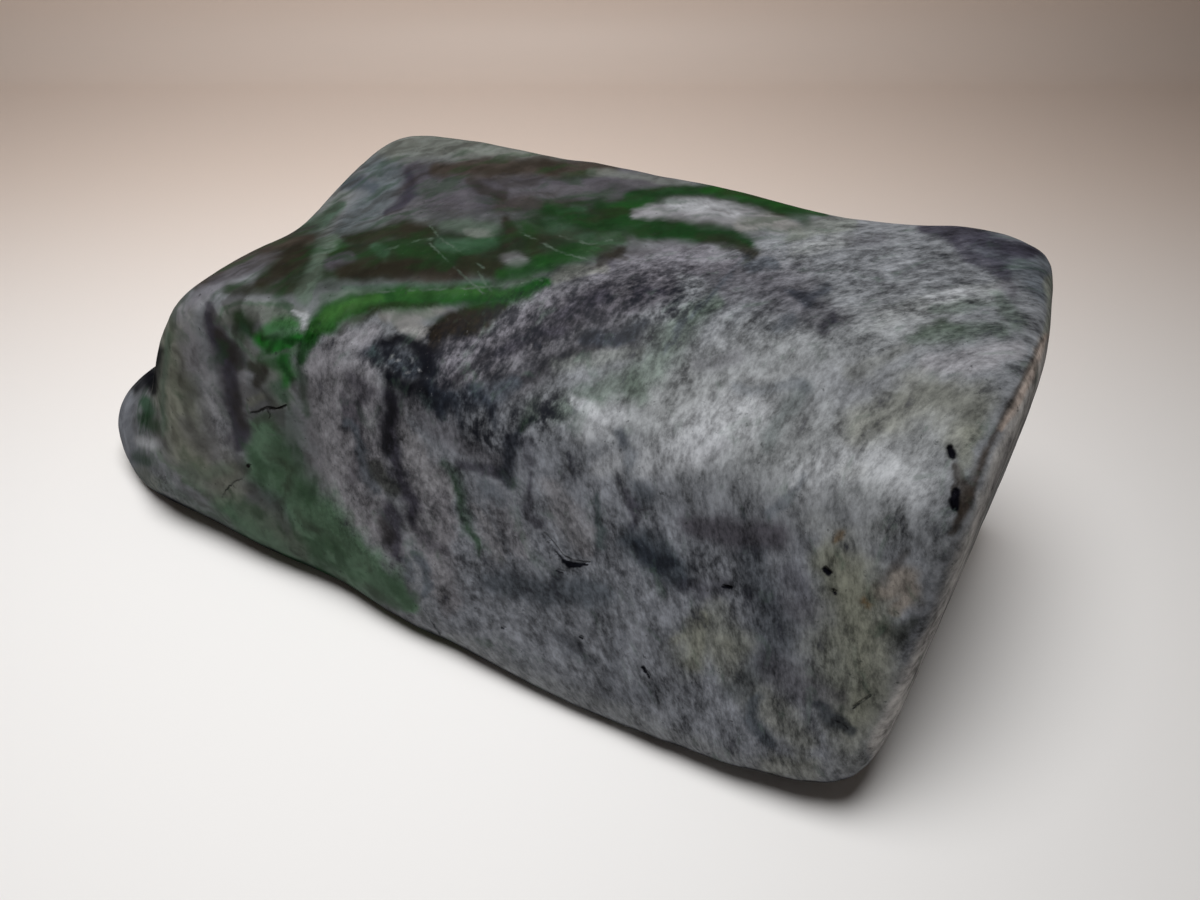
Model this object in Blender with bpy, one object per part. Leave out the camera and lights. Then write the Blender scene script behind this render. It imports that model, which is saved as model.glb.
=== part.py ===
"""A block of green, grey and lavender jade, cut down to a wedge and tumbled until its edges are round.

+X runs along the length to the square end, +Y to the back and +Z up. The origin is at the middle of
the stone's bounding box, on the surface that the stone rests on.
"""

from math import cos, exp, radians, sin

import bmesh
import bpy
from mathutils import Vector

MM = 0.001

# Driving dimensions of the rough block, before it is cut and worn.
LENGTH = 150 * MM
DEPTH = 76 * MM
HEIGHT = 56 * MM
UNDERSIDE = -0.5 * MM

# The skin is divided into squares of this size while it is worn. The share of its triangles that is
# kept afterwards is enough for a shape this smooth.
SKIN_STEP = 1.2 * MM
TUMBLING_PASSES = 60
TUMBLING_STRENGTH = 0.5
TRIANGLES_KEPT = 0.15

# Each cut face: the compass heading that it faces (0 is +X, 90 is +Y), how far it leans back from
# upright, both in degrees, and how far it is from the middle of the seat, in millimetres.
CUT_FACES = {
    "front": (-85, 17.7, 36.1),
    "front_left": (-89.4, 13, 32.8),
    "front_foot": (-93, -31, 26.5),
    "brow": (-85.3, 57.3, 46.9),
    "right_end": (-3, -2, 65.3),
    "right_end_back": (7, 4.7, 71.2),
    "right_foot": (2.2, -33.4, 48.3),
    "right_front_foot": (-54, -37, 44.7),
    "right_lift": (-49, -78.6, 8.9),
    "back": (90, 7, 34.2),
    "back_foot": (90, -40, 22.0),
    "back_left": (140, 8, 67.0),
    "left_corner": (-126, 18, 55.8),
    "left_end": (184, 39, 59.3),
    "left_foot": (177, -41, 49.4),
    "top": (-105.7, 87.6, 49.3),
    "top_left": (-152, 77, 49.8),
}

# Each worn hollow or swelling of the skin: its middle and its reach in millimetres, and how far it
# moves the skin, in millimetres. A hollow is below zero.
WEAR = {
    "left_toe": ((-69, -12, 7), (14, 22, 10), 5.0),
    "left_recess": ((-62, -24, 22), (8, 10, 8), -1.2),
    "back_left_shoulder": ((-38, 24, 48), (14, 14, 14), 2.4),
    "saddle": ((-40, 0, 44), (12, 8, 12), -1.5),
    "back_right_swell": ((55, 29, 50), (8, 9, 10), 1.3),
    "back_dip": ((36, 31, 49), (10, 10, 10), -0.9),
    "foot_dip": ((-15, -32, 5), (9, 6, 6), -1.1),
    "foot_notch": ((7, -33, 3), (2.5, 4, 3.5), -0.5),
    "back_hollow": ((-8, 33, 24), (30, 12, 14), -1.3),
    "back_swell": ((38, 33, 18), (18, 12, 12), 1.0),
    "left_end_swell": ((-56, 18, 22), (12, 12, 12), 1.4),
}

STONE_GREY = (0.19, 0.21, 0.23, 1.0)


def facing(heading, lean):
    """The outward direction of a face."""
    flat = cos(radians(lean))
    return Vector((flat * cos(radians(heading)), flat * sin(radians(heading)), sin(radians(lean))))


def everything(shape):
    return shape.verts[:] + shape.edges[:] + shape.faces[:]


def saw(shape, through, outward):
    """Cut away all that lies beyond a plane, and close the cut with a flat face."""
    cut = bmesh.ops.bisect_plane(
        shape,
        geom=everything(shape),
        dist=1e-7,
        plane_co=through,
        plane_no=outward,
        clear_outer=True,
    )
    rim = [item for item in cut["geom_cut"] if isinstance(item, bmesh.types.BMEdge)]
    bmesh.ops.contextual_create(shape, geom=rim)


def sawn_block():
    """The rough block with every flat face cut."""
    block = bmesh.new()
    bmesh.ops.create_cube(block, size=1.0)
    bmesh.ops.scale(block, vec=(LENGTH, DEPTH, HEIGHT), verts=block.verts)
    bmesh.ops.translate(block, vec=(0, 0, UNDERSIDE + HEIGHT / 2), verts=block.verts)
    for heading, lean, distance in CUT_FACES.values():
        outward = facing(heading, lean)
        saw(block, outward * distance * MM, outward)
    return block


def shaped(shape, change_skin):
    """The shape again, after the modifiers that change_skin puts on it."""
    mesh = bpy.data.meshes.new("rough")
    shape.to_mesh(mesh)
    shape.free()
    rough = bpy.data.objects.new("rough", mesh)
    bpy.context.collection.objects.link(rough)
    change_skin(rough)
    seen = rough.evaluated_get(bpy.context.evaluated_depsgraph_get())
    new_mesh = bpy.data.meshes.new_from_object(seen)
    new_shape = bmesh.new()
    new_shape.from_mesh(new_mesh)
    bpy.data.objects.remove(rough)
    bpy.data.meshes.remove(new_mesh)
    return new_shape


def tumble(rough):
    """Divide the skin into even squares and wear its edges round."""
    skin = rough.modifiers.new("skin", "REMESH")
    skin.mode = "VOXEL"
    skin.voxel_size = SKIN_STEP
    skin.adaptivity = 0
    wear = rough.modifiers.new("wear", "SMOOTH")
    wear.factor = TUMBLING_STRENGTH
    wear.iterations = TUMBLING_PASSES


def simplify(rough):
    """Keep small triangles only where the skin bends."""
    fewer = rough.modifiers.new("fewer", "DECIMATE")
    fewer.ratio = TRIANGLES_KEPT


def wear_hollows(stone):
    """Press in each hollow and raise each swelling, along the skin's own direction."""
    stone.normal_update()
    for vert in stone.verts:
        start, out = vert.co.copy(), vert.normal.copy()
        for middle, reach, height in WEAR.values():
            away = [(start[axis] / MM - middle[axis]) / reach[axis] for axis in range(3)]
            vert.co += out * (height * MM * exp(-sum(part * part for part in away)))


def grind_seat(stone):
    """Cut the worn flat underneath, where the stone rests."""
    saw(stone, Vector((0, 0, 0)), Vector((0, 0, -1)))


def centre(stone):
    """Bring the middle of the stone's bounding box over the origin."""
    lows = [min(vert.co[axis] for vert in stone.verts) for axis in range(3)]
    highs = [max(vert.co[axis] for vert in stone.verts) for axis in range(3)]
    middle = Vector(((lows[0] + highs[0]) / 2, (lows[1] + highs[1]) / 2, 0))
    print("size, mm:", [round((high - low) / MM, 2) for low, high in zip(lows, highs)])
    print("moved by, mm:", [round(-part / MM, 3) for part in middle])
    bmesh.ops.translate(stone, vec=-middle, verts=stone.verts)


def stone_material():
    """Waxy grey-green stone."""
    material = bpy.data.materials.new("jade")
    material.use_nodes = True
    shader = material.node_tree.nodes["Principled BSDF"]
    shader.inputs["Base Color"].default_value = STONE_GREY
    shader.inputs["Roughness"].default_value = 0.35
    shader.inputs["Metallic"].default_value = 0.0
    return material


def make_jade_boulder():
    """The whole stone, one solid."""
    stone = shaped(sawn_block(), tumble)
    wear_hollows(stone)
    stone = shaped(stone, simplify)
    grind_seat(stone)
    centre(stone)
    bmesh.ops.recalc_face_normals(stone, faces=stone.faces)
    mesh = bpy.data.meshes.new("jade_boulder")
    stone.to_mesh(mesh)
    stone.free()
    mesh.shade_smooth()
    mesh.set_sharp_from_angle(angle=radians(40))
    mesh.materials.append(stone_material())
    boulder = bpy.data.objects.new("jade_boulder", mesh)
    bpy.context.collection.objects.link(boulder)


def main():
    for leftover in list(bpy.data.objects):
        bpy.data.objects.remove(leftover)
    make_jade_boulder()


main()
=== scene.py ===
# %% [markdown]
# # A tumbled block of jade
#
# The real object is one lump of jade rock. It was broken out, cut down to a wedge and tumbled with grit
# until every edge was round and the skin took a waxy polish. It is grey and lavender stone with fibres
# that run across its length, and a sheet of green jade crosses its left half. The solid that carries it
# is already made, so this file only finishes the skin: fine relief in the mesh, then the minerals as
# paint on the skin's points, then one material that breaks that paint up into fibres and grain.

import bmesh
import bpy
import numpy as np
from math import cos, radians, sin
from mathutils import Euler, Matrix, Vector, noise


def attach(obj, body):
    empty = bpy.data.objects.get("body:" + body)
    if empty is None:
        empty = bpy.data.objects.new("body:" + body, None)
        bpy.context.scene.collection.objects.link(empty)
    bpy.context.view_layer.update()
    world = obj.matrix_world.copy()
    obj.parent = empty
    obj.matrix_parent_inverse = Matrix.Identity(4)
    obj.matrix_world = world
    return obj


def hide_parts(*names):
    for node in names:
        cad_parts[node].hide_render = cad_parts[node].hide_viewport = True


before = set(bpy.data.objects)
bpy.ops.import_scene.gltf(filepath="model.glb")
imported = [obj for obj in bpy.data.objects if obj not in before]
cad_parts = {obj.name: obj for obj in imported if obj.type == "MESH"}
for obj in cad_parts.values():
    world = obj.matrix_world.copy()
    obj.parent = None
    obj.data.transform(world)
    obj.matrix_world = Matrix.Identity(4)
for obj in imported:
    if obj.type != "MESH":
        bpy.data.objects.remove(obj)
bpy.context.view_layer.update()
MM = 0.001

# %% [markdown]
# ## The camera
#
# A stone this small is looked at from close by, and that shows: its near corner looms and its far end
# shrinks. A long lens from far away would lose that. So the camera stands only 100 mm above the table,
# with a wide lens, and looks down over the front of the square end.

# %% Place and aim the camera
CAMERA_PLACE = Vector((68.825, -93.428, 100.0)) * MM
LOOKS_DOWN = 38.0
TURNED_LEFT = 29.2424
LENS = 27.03
SENSOR_WIDTH = 36.0

lens = bpy.data.cameras.new("camera")
lens.lens = LENS
lens.sensor_width = SENSOR_WIDTH
lens.clip_start = 5 * MM
camera = bpy.data.objects.new("camera", lens)
camera.location = CAMERA_PLACE
camera.rotation_euler = Euler((radians(90 - LOOKS_DOWN), 0, radians(TURNED_LEFT)))
bpy.context.scene.collection.objects.link(camera)
bpy.context.scene.camera = camera
bpy.context.view_layer.update()
print("the camera is", round(CAMERA_PLACE.length / MM), "mm from the middle of the seat")

# %% [markdown]
# ## The studio
#
# The stone lies on a pale sheet that curves up behind it, so there is no line between table and wall.
# One soft lamp hangs above the stone, a little in front of it, and is turned towards its left end. It
# leaves the top light and the front darker, and the wall behind falls into shade. The weak warm light
# from all round stands for the room.

# %% The pale sweep under and behind the stone
SWEEP_HALF_WIDTH = 1500 * MM
SWEEP_FRONT = 900 * MM
WALL_DISTANCE = 372 * MM
WALL_HEIGHT = 700 * MM
CURVE_RADIUS = 25 * MM
CURVE_STEPS = 12
NEAR_COLOUR = (0.81, 0.80, 0.79)
# painted light: the warmer far colour stands for the warm room light on the far part of the sheet
FAR_PAINTED_WARMTH = (0.83, 0.71, 0.63)
PAPER_ROUGHNESS = 0.6
WARM_FROM = -20 * MM
WARM_TO = 170 * MM


def plain_material(name, colour, roughness):
    """One even finish, for what isn't part of the stone."""
    material = bpy.data.materials.new(name)
    material.use_nodes = True
    shader = material.node_tree.nodes["Principled BSDF"]
    shader.inputs["Base Color"].default_value = (*colour, 1.0)
    shader.inputs["Roughness"].default_value = roughness
    return material


def sheet_material():
    """Pale paper, white close by, with a warmer colour far back that is painted warm room light."""
    material = plain_material("pale_sheet", NEAR_COLOUR, PAPER_ROUGHNESS)
    tree = material.node_tree
    place = tree.nodes.new("ShaderNodeTexCoord").outputs["Object"]
    far_back = tree.nodes.new("ShaderNodeVectorMath")
    far_back.operation = "DOT_PRODUCT"
    far_back.inputs[1].default_value = (-sin(radians(TURNED_LEFT)), cos(radians(TURNED_LEFT)), 0)
    tree.links.new(place, far_back.inputs[0])
    share = tree.nodes.new("ShaderNodeMapRange")
    share.interpolation_type = "SMOOTHSTEP"
    share.inputs["From Min"].default_value = WARM_FROM
    share.inputs["From Max"].default_value = WARM_TO
    tree.links.new(far_back.outputs["Value"], share.inputs["Value"])
    paper = tree.nodes.new("ShaderNodeMix")
    paper.data_type = "RGBA"
    paper.inputs["A"].default_value = (*NEAR_COLOUR, 1.0)
    paper.inputs["B"].default_value = (*FAR_PAINTED_WARMTH, 1.0)
    tree.links.new(share.outputs["Result"], paper.inputs["Factor"])
    tree.links.new(paper.outputs["Result"], tree.nodes["Principled BSDF"].inputs["Base Color"])
    return material


def make_sweep():
    """A sheet that lies flat under the stone and then turns up into a wall, square to the camera."""
    sweep = bmesh.new()
    bmesh.ops.create_grid(sweep, x_segments=1, y_segments=1, size=1.0)
    half_sizes = (SWEEP_HALF_WIDTH, (SWEEP_FRONT + WALL_DISTANCE) / 2, 1)
    bmesh.ops.scale(sweep, vec=half_sizes, verts=sweep.verts)
    middle = (WALL_DISTANCE - SWEEP_FRONT) / 2 - CURVE_RADIUS
    bmesh.ops.translate(sweep, vec=(0, middle, 0), verts=sweep.verts)
    sweep.edges.ensure_lookup_table()
    back = max(sweep.edges, key=lambda edge: edge.verts[0].co.y + edge.verts[1].co.y)
    turned = bmesh.ops.spin(
        sweep,
        geom=[back, *back.verts],
        cent=(0, WALL_DISTANCE - CURVE_RADIUS, CURVE_RADIUS),
        axis=(1, 0, 0),
        angle=radians(90),
        steps=CURVE_STEPS,
    )
    last = [item for item in turned["geom_last"] if isinstance(item, bmesh.types.BMEdge)]
    raised = bmesh.ops.extrude_edge_only(sweep, edges=last)
    top = [item for item in raised["geom"] if isinstance(item, bmesh.types.BMVert)]
    bmesh.ops.translate(sweep, vec=(0, 0, WALL_HEIGHT), verts=top)
    turn = Matrix.Rotation(radians(TURNED_LEFT), 3, "Z")
    bmesh.ops.rotate(sweep, cent=(0, 0, 0), matrix=turn, verts=sweep.verts)
    foot = Vector((CAMERA_PLACE.x, CAMERA_PLACE.y, 0))
    bmesh.ops.translate(sweep, vec=foot, verts=sweep.verts)
    mesh = bpy.data.meshes.new("pale_sweep")
    sweep.to_mesh(mesh)
    sweep.free()
    mesh.shade_smooth()
    mesh.materials.append(sheet_material())
    return mesh


pale_sweep = bpy.data.objects.new("pale_sweep", make_sweep())
bpy.context.scene.collection.objects.link(pale_sweep)
print("the sweep has", len(pale_sweep.data.polygons), "faces")

# %% The lamp and the light of the room
LAMP_PLACE = Vector((10, -40, 300)) * MM
LAMP_AIM = Vector((-70, 5, 0)) * MM
LAMP_SIZE = 190 * MM
LAMP_POWER = 0.61
LAMP_SPREAD = 134.0
ROOM_COLOUR = (1.0, 0.86, 0.76, 1.0)
ROOM_STRENGTH = 0.06

lamp_light = bpy.data.lights.new("soft_lamp", "AREA")
lamp_light.shape = "DISK"
lamp_light.size = LAMP_SIZE
lamp_light.energy = LAMP_POWER
lamp_light.spread = radians(LAMP_SPREAD)
soft_lamp = bpy.data.objects.new("soft_lamp", lamp_light)
soft_lamp.location = LAMP_PLACE
soft_lamp.rotation_euler = (LAMP_AIM - LAMP_PLACE).to_track_quat("-Z", "Y").to_euler()
bpy.context.scene.collection.objects.link(soft_lamp)

room = bpy.data.worlds.new("room")
room.use_nodes = True
room.node_tree.nodes["Background"].inputs["Color"].default_value = ROOM_COLOUR
room.node_tree.nodes["Background"].inputs["Strength"].default_value = ROOM_STRENGTH
bpy.context.scene.world = room
bpy.context.scene.view_settings.view_transform = "Standard"
print("lamp height, mm:", round(LAMP_PLACE.z / MM))

# %% [markdown]
# ## The skin
#
# The solid has large flat triangles, which is right for measuring and too coarse for a polished skin.
# Dividing each triangle would keep its long thin shape. A voxel remesh instead lays an even net of
# small squares over the whole stone, and a few passes of smoothing take out the steps that it leaves.
# The side that shows most is then divided once more, so that narrow marks have points to lie on.

# %% An even net over the solid
NET_STEP = 1.0 * MM
MERGE_DISTANCE = 0.005 * MM
SMOOTHING_FACTOR = 0.5
SMOOTHING_PASSES = 12


def even_net(node):
    """A net of small squares over a node of the solid model."""
    shape = bmesh.new()
    shape.from_mesh(node.data)
    bmesh.ops.remove_doubles(shape, verts=shape.verts, dist=MERGE_DISTANCE)
    merged = bpy.data.meshes.new("merged")
    shape.to_mesh(merged)
    shape.free()
    holder = bpy.data.objects.new("holder", merged)
    bpy.context.scene.collection.objects.link(holder)
    net = holder.modifiers.new("net", "REMESH")
    net.mode = "VOXEL"
    net.voxel_size = NET_STEP
    soft = holder.modifiers.new("soft", "SMOOTH")
    soft.factor = SMOOTHING_FACTOR
    soft.iterations = SMOOTHING_PASSES
    finished = holder.evaluated_get(bpy.context.evaluated_depsgraph_get())
    made = bpy.data.meshes.new_from_object(finished)
    bpy.data.objects.remove(holder)
    bpy.data.meshes.remove(merged)
    return made


skin = even_net(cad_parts["jade_boulder"])
print("the net has", len(skin.polygons), "squares")

# %% Divide the side that shows
FACES_THE_VIEW = 0.02
PASSES_AFTER_DIVIDING = 3


def divide(shape, edges):
    """Cut each edge in two, and each face between cut edges into smaller ones."""
    bmesh.ops.subdivide_edges(shape, edges=edges, cuts=1, use_grid_fill=True, use_single_edge=True)


def faces_camera(face):
    """Whether the camera sees the front of a face."""
    to_camera = (CAMERA_PLACE - face.calc_center_median()).normalized()
    return to_camera.dot(face.normal) > FACES_THE_VIEW


net = bmesh.new()
net.from_mesh(skin)
net.normal_update()
divide(net, list({edge for face in net.faces if faces_camera(face) for edge in face.edges}))
every_axis = {"use_axis_x": True, "use_axis_y": True, "use_axis_z": True}
for _ in range(PASSES_AFTER_DIVIDING):
    bmesh.ops.smooth_vert(net, verts=net.verts, factor=SMOOTHING_FACTOR, **every_axis)
bmesh.ops.triangulate(net, faces=net.faces)
print("the skin has", len(net.faces), "triangles before its marks")

# %% [markdown]
# ## Places in the view
#
# The marks on the side that shows are placed by where they lie in the camera's view, taken as 1200
# pixels wide and 900 high. The points of the skin are projected into that view, and distances are
# measured there. A mark is a line of points with a half width at each, like a brush stroke that is
# pressed harder in places. The same brush works on the hidden sides, with places in millimetres.

# %% Project points, and measure how far they are from a stroke
VIEW_WIDTH = 1200
VIEW_HEIGHT = 900
PIXELS_PER_SLOPE = VIEW_WIDTH * LENS / SENSOR_WIDTH
FADE_PER_SOFTNESS = 0.8


def places_of(points):
    """Where each point of a shape is, in millimetres."""
    return np.array([point.co for point in points]) / MM


def outward_of(points):
    """The outward direction at each point of a shape."""
    return np.array([point.normal for point in points])


def in_view(places):
    """Where points lie in the view, in pixels from its top left corner."""
    world_to_camera = np.array(camera.matrix_world.inverted())
    seen = places * MM @ world_to_camera[:3, :3].T + world_to_camera[:3, 3]
    across = VIEW_WIDTH / 2 - PIXELS_PER_SLOPE * seen[:, 0] / seen[:, 2]
    down = VIEW_HEIGHT / 2 + PIXELS_PER_SLOPE * seen[:, 1] / seen[:, 2]
    return np.stack([across, down], axis=1)


def facing_camera(points, outward):
    """How squarely each place on the skin faces the camera, from 1 to -1. Points are in millimetres."""
    to_camera = np.array(CAMERA_PLACE) / MM - points
    return (outward * to_camera).sum(axis=1) / np.linalg.norm(to_camera, axis=1)


def reach_from(points, line):
    """How far each point is from a line, in half widths of the line at its nearest place."""
    nearest = np.full(len(points), np.inf)
    for start, end in zip(line[:-1], line[1:]):
        first, last = np.array(start[:-1], float), np.array(end[:-1], float)
        along = last - first
        share = np.clip((points - first) @ along / (along @ along), 0, 1)
        half_width = start[-1] + share * (end[-1] - start[-1])
        gap = np.linalg.norm(points - first - share[:, None] * along, axis=1)
        nearest = np.minimum(nearest, gap / half_width)
    return nearest


def reach_from_any(points, lines):
    """How far each point is from the nearest of some lines."""
    return np.min([reach_from(points, line) for line in lines], axis=0)


def smooth_step(low, high, values):
    """From 0 at low to 1 at high, with soft ends."""
    share = np.clip((values - low) / (high - low), 0, 1)
    return share * share * (3 - 2 * share)


def covers(reach, softness):
    """How strongly a stroke covers: 1 in its middle, one half at its edge, 0 well outside."""
    fade = FADE_PER_SOFTNESS * softness
    return 1 - smooth_step(1 - fade, 1 + fade, reach)


# %% [markdown]
# ## Relief
#
# Tumbling leaves the skin smooth but not flat: hard and soft minerals wear at different rates, so the
# light rolls over low waves. Grit never reaches into a crack, so each one stays sharp and dark. The
# waves are pressed in, never raised, so the finished skin stays inside the solid. Cracks and pits are
# far narrower than the net, so the net is first cut finer along them, twice, and only there.

# %% Cracks, pits, hollows and hairlines: (across, down, half width) in view pixels, and depth in mm
CRACKS = {
    "left crack": ([(250, 413, 0.7), (258, 412, 1.3), (266, 408, 1.8), (276, 409, 1), (285, 406, 1.3)], 0.2),
    "left branch": ([(268, 409, 1.2), (270, 418, 0.6)], 0.15),
    "middle crack": ([(542, 534, 0.5), (552, 546, 0.7), (560, 557, 1.2), (567, 562, 2.2)], 0.15),
    "middle spot": ([(556, 571, 0.8), (563, 573, 1)], 0.1),
    "left hairline": ([(222, 497, 0.5), (226, 490, 0.7), (234, 482, 0.9), (242, 479, 0.5)], 0.08),
    "low dash one": ([(871, 696, 0.7), (862, 702, 1.3), (853, 708, 0.9)], 0.15),
    "low dash two": ([(835, 720, 0.5), (848, 728, 0.7)], 0.08),
    "notch line": ([(424, 608, 0.5), (432, 622, 0.8), (440, 634, 1.2)], 0.12),
}
PITS = {
    "middle hole": ([(562, 560, 1.2), (570, 565, 3.6), (580, 565, 2), (588, 564, 0.8)], 0.2),
    "edge pit": ([(950, 448, 3.4), (952, 455, 4.2)], 0.2),
    "long pit": ([(957, 491, 3.8), (954, 500, 5.2), (955, 508, 3.4)], 0.2),
    "bright pit": ([(825, 569, 2.4), (829, 573, 2.8)], 0.25),
    "small pit": ([(833, 591, 1.6), (835, 593, 1.8)], 0.25),
    "front pit": ([(723, 586, 1.4), (731, 588, 1.6)], 0.2),
    "slot pit": ([(643, 668, 1.6), (649, 677, 1)], 0.2),
    "pin prick one": ([(502, 628, 1), (504, 629, 1)], 0.15),
    "pin prick two": ([(580, 637, 1), (582, 638, 1)], 0.15),
    "pin prick three": ([(247, 465, 1.2), (249, 466, 1.2)], 0.15),
}
CREASES = {
    "left crease": ([(150, 440, 6), (165, 462, 6), (185, 474, 6), (205, 487, 6), (224, 498, 5)], 0.25),
    "brow hollow": ([(378, 352, 12), (405, 362, 14), (432, 372, 12)], 0.35),
    "middle hollow": ([(552, 540, 16), (575, 562, 20)], 0.4),
    "right hollow": ([(940, 470, 16), (930, 500, 14)], 0.25),
    "lens rim": ([(640, 206, 8), (700, 201, 8), (760, 208, 8)], 0.15),
}
HAIRLINES = {
    "vein line": [(330, 296, 1.2), (400, 291, 1.2), (470, 288, 1.2), (500, 286, 1.2), (542, 280, 1.2)],
    "cross line one": [(430, 244, 1.2), (455, 268, 1.2), (490, 300, 1.2)],
    "cross line two": [(478, 272, 1.2), (490, 290, 1.5), (500, 302, 1.2)],
    "cross line three": [(520, 232, 1), (560, 252, 1.2), (596, 262, 1)],
    "green thread": [(310, 300, 1.5), (318, 268, 1.5), (332, 238, 1.2)],
    "left thread": [(226, 306, 1.5), (232, 330, 1.5), (250, 356, 1.5), (262, 372, 1)],
    "left foot thread": [(246, 404, 1.2), (250, 418, 1.4), (256, 430, 1.2), (276, 436, 1)],
    "vein thread one": [(430, 226, 1), (442, 240, 1.2), (462, 252, 1), (484, 268, 1.2)],
    "vein thread two": [(384, 250, 1), (420, 240, 1.2), (440, 238, 1)],
    "vein thread three": [(560, 236, 1), (590, 244, 1.2), (612, 240, 1)],
}
MARK_REACH = 2.4
FINER_CUTS = 2

marks = [line for line, _ in [*CRACKS.values(), *PITS.values()]] + list(HAIRLINES.values())
for _ in range(FINER_CUTS):
    net.verts.ensure_lookup_table()
    net.verts.index_update()
    view = in_view(places_of(net.verts))
    near = reach_from_any(view, marks) < MARK_REACH
    net.normal_update()
    close = {
        edge
        for face in net.faces
        if faces_camera(face) and any(near[vert.index] for vert in face.verts)
        for edge in face.edges
    }
    divide(net, list(close))
    bmesh.ops.triangulate(net, faces=net.faces)
print("the skin has", len(net.faces), "triangles")

# %% Press in the waves, the cracks and the pits
WAVE_LENGTHS = (11.0, 4.0, 1.6)
WAVE_DEPTHS = (0.28, 0.12, 0.035)
CRACK_WALL = (0.2, 1.2)
SEAT_FADE = 1.5
# a pair whose name ends in FROM holds where something starts and where it is full
PRESSED_FROM = (0.02, 0.10)


def noise_at(places, length, octaves=3, shift=0.0):
    """Smooth noise between about -1 and 1 at each point, with waves of a length in millimetres.

    Each use has a shift of its own, which takes it from another part of the same endless noise.
    """
    offset = Vector((shift,) * 3)
    return np.array([noise.fractal(Vector(place) / length + offset, 1, 2, octaves) for place in places])


net.normal_update()
places = places_of(net.verts)
view = in_view(places)
outward = outward_of(net.verts)
shown = smooth_step(*PRESSED_FROM, facing_camera(places, outward))

depth = np.zeros(len(places))
for length, deepest in zip(WAVE_LENGTHS, WAVE_DEPTHS):
    depth += deepest * (1 + noise_at(places, length, octaves=1, shift=7 * length)) / 2
for line, deepest in CREASES.values():
    depth += deepest * shown * np.exp(-reach_from(view, line) ** 2)
for line, deepest in [*CRACKS.values(), *PITS.values()]:
    depth += deepest * shown * (1 - smooth_step(*CRACK_WALL, reach_from(view, line)))
above_seat = smooth_step(0, SEAT_FADE, places[:, 2])
moved = places - outward * (depth * above_seat)[:, None]
for vert, place in zip(net.verts, moved * MM):
    vert.co = place
print("deepest place, mm:", round(float(depth.max()), 2))

net.to_mesh(skin)
net.free()
jade = bpy.data.objects.new("jade_skin", skin)
bpy.context.scene.collection.objects.link(jade)
skin.shade_smooth()

# %% [markdown]
# ## The minerals as paint
#
# What tells one jade block from another is where its minerals lie: the green sheet, the lavender
# lenses, the olive and brown clots, the black spot on the brow. No noise pattern would put them there.
# They could be painted in an image, but then they would hang on one unwrapping. So they are strokes: a
# mineral, how strongly it covers, how soft its edge is, and a line of points with a half width at each.
# Each point of the skin takes the colour of the strokes that it lies in, one over the other, and keeps
# it wherever the camera goes. The lists that follow hold one part of the stone each.

# %% The minerals, as the share of red, green and blue that each gives back
MINERALS = {
    "grey": (0.138, 0.145, 0.156),
    "ash": (0.168, 0.178, 0.200),
    "pale": (0.188, 0.197, 0.198),
    "white": (0.305, 0.315, 0.332),
    "lavender": (0.124, 0.120, 0.137),
    "lavender_shade": (0.067, 0.064, 0.073),
    "mauve": (0.158, 0.155, 0.169),
    "pale_lavender": (0.182, 0.181, 0.194),
    "violet": (0.052, 0.049, 0.059),
    "dark_violet": (0.027, 0.025, 0.036),
    "steel": (0.052, 0.062, 0.075),
    "navy": (0.014, 0.018, 0.026),
    "black": (0.004, 0.004, 0.006),
    "blue_grey": (0.080, 0.093, 0.102),
    "beige": (0.178, 0.176, 0.172),
    "pink": (0.20, 0.178, 0.155),
    "brown": (0.032, 0.025, 0.020),
    "umber": (0.014, 0.012, 0.008),
    "dark_brown": (0.015, 0.011, 0.008),
    "stone_grey": (0.125, 0.136, 0.125),
    "stone_olive": (0.154, 0.162, 0.138),
    "olive_grey": (0.083, 0.086, 0.076),
    "olive_pale": (0.155, 0.158, 0.120),
    "olive_dark": (0.013, 0.016, 0.008),
    "dark_sage": (0.013, 0.022, 0.012),
    "sage": (0.070, 0.122, 0.079),
    "green_sage": (0.034, 0.072, 0.044),
    "pale_sage": (0.070, 0.098, 0.076),
    "moss": (0.010, 0.025, 0.008),
    "deep_green": (0.006, 0.028, 0.007),
    "leaf": (0.007, 0.046, 0.007),
    "vein": (0.018, 0.062, 0.015),
    "lime": (0.034, 0.098, 0.022),
    "emerald": (0.003, 0.100, 0.004),
    "teal": (0.018, 0.036, 0.034),
    "rust": (0.10, 0.062, 0.028),
    # this one is no mineral: it is a painted reflection of the bright table on the strip along the square end
    "painted_strip_reflection": (0.34, 0.33, 0.32),
    "rim_pink": (0.30, 0.25, 0.22),
}

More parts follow.
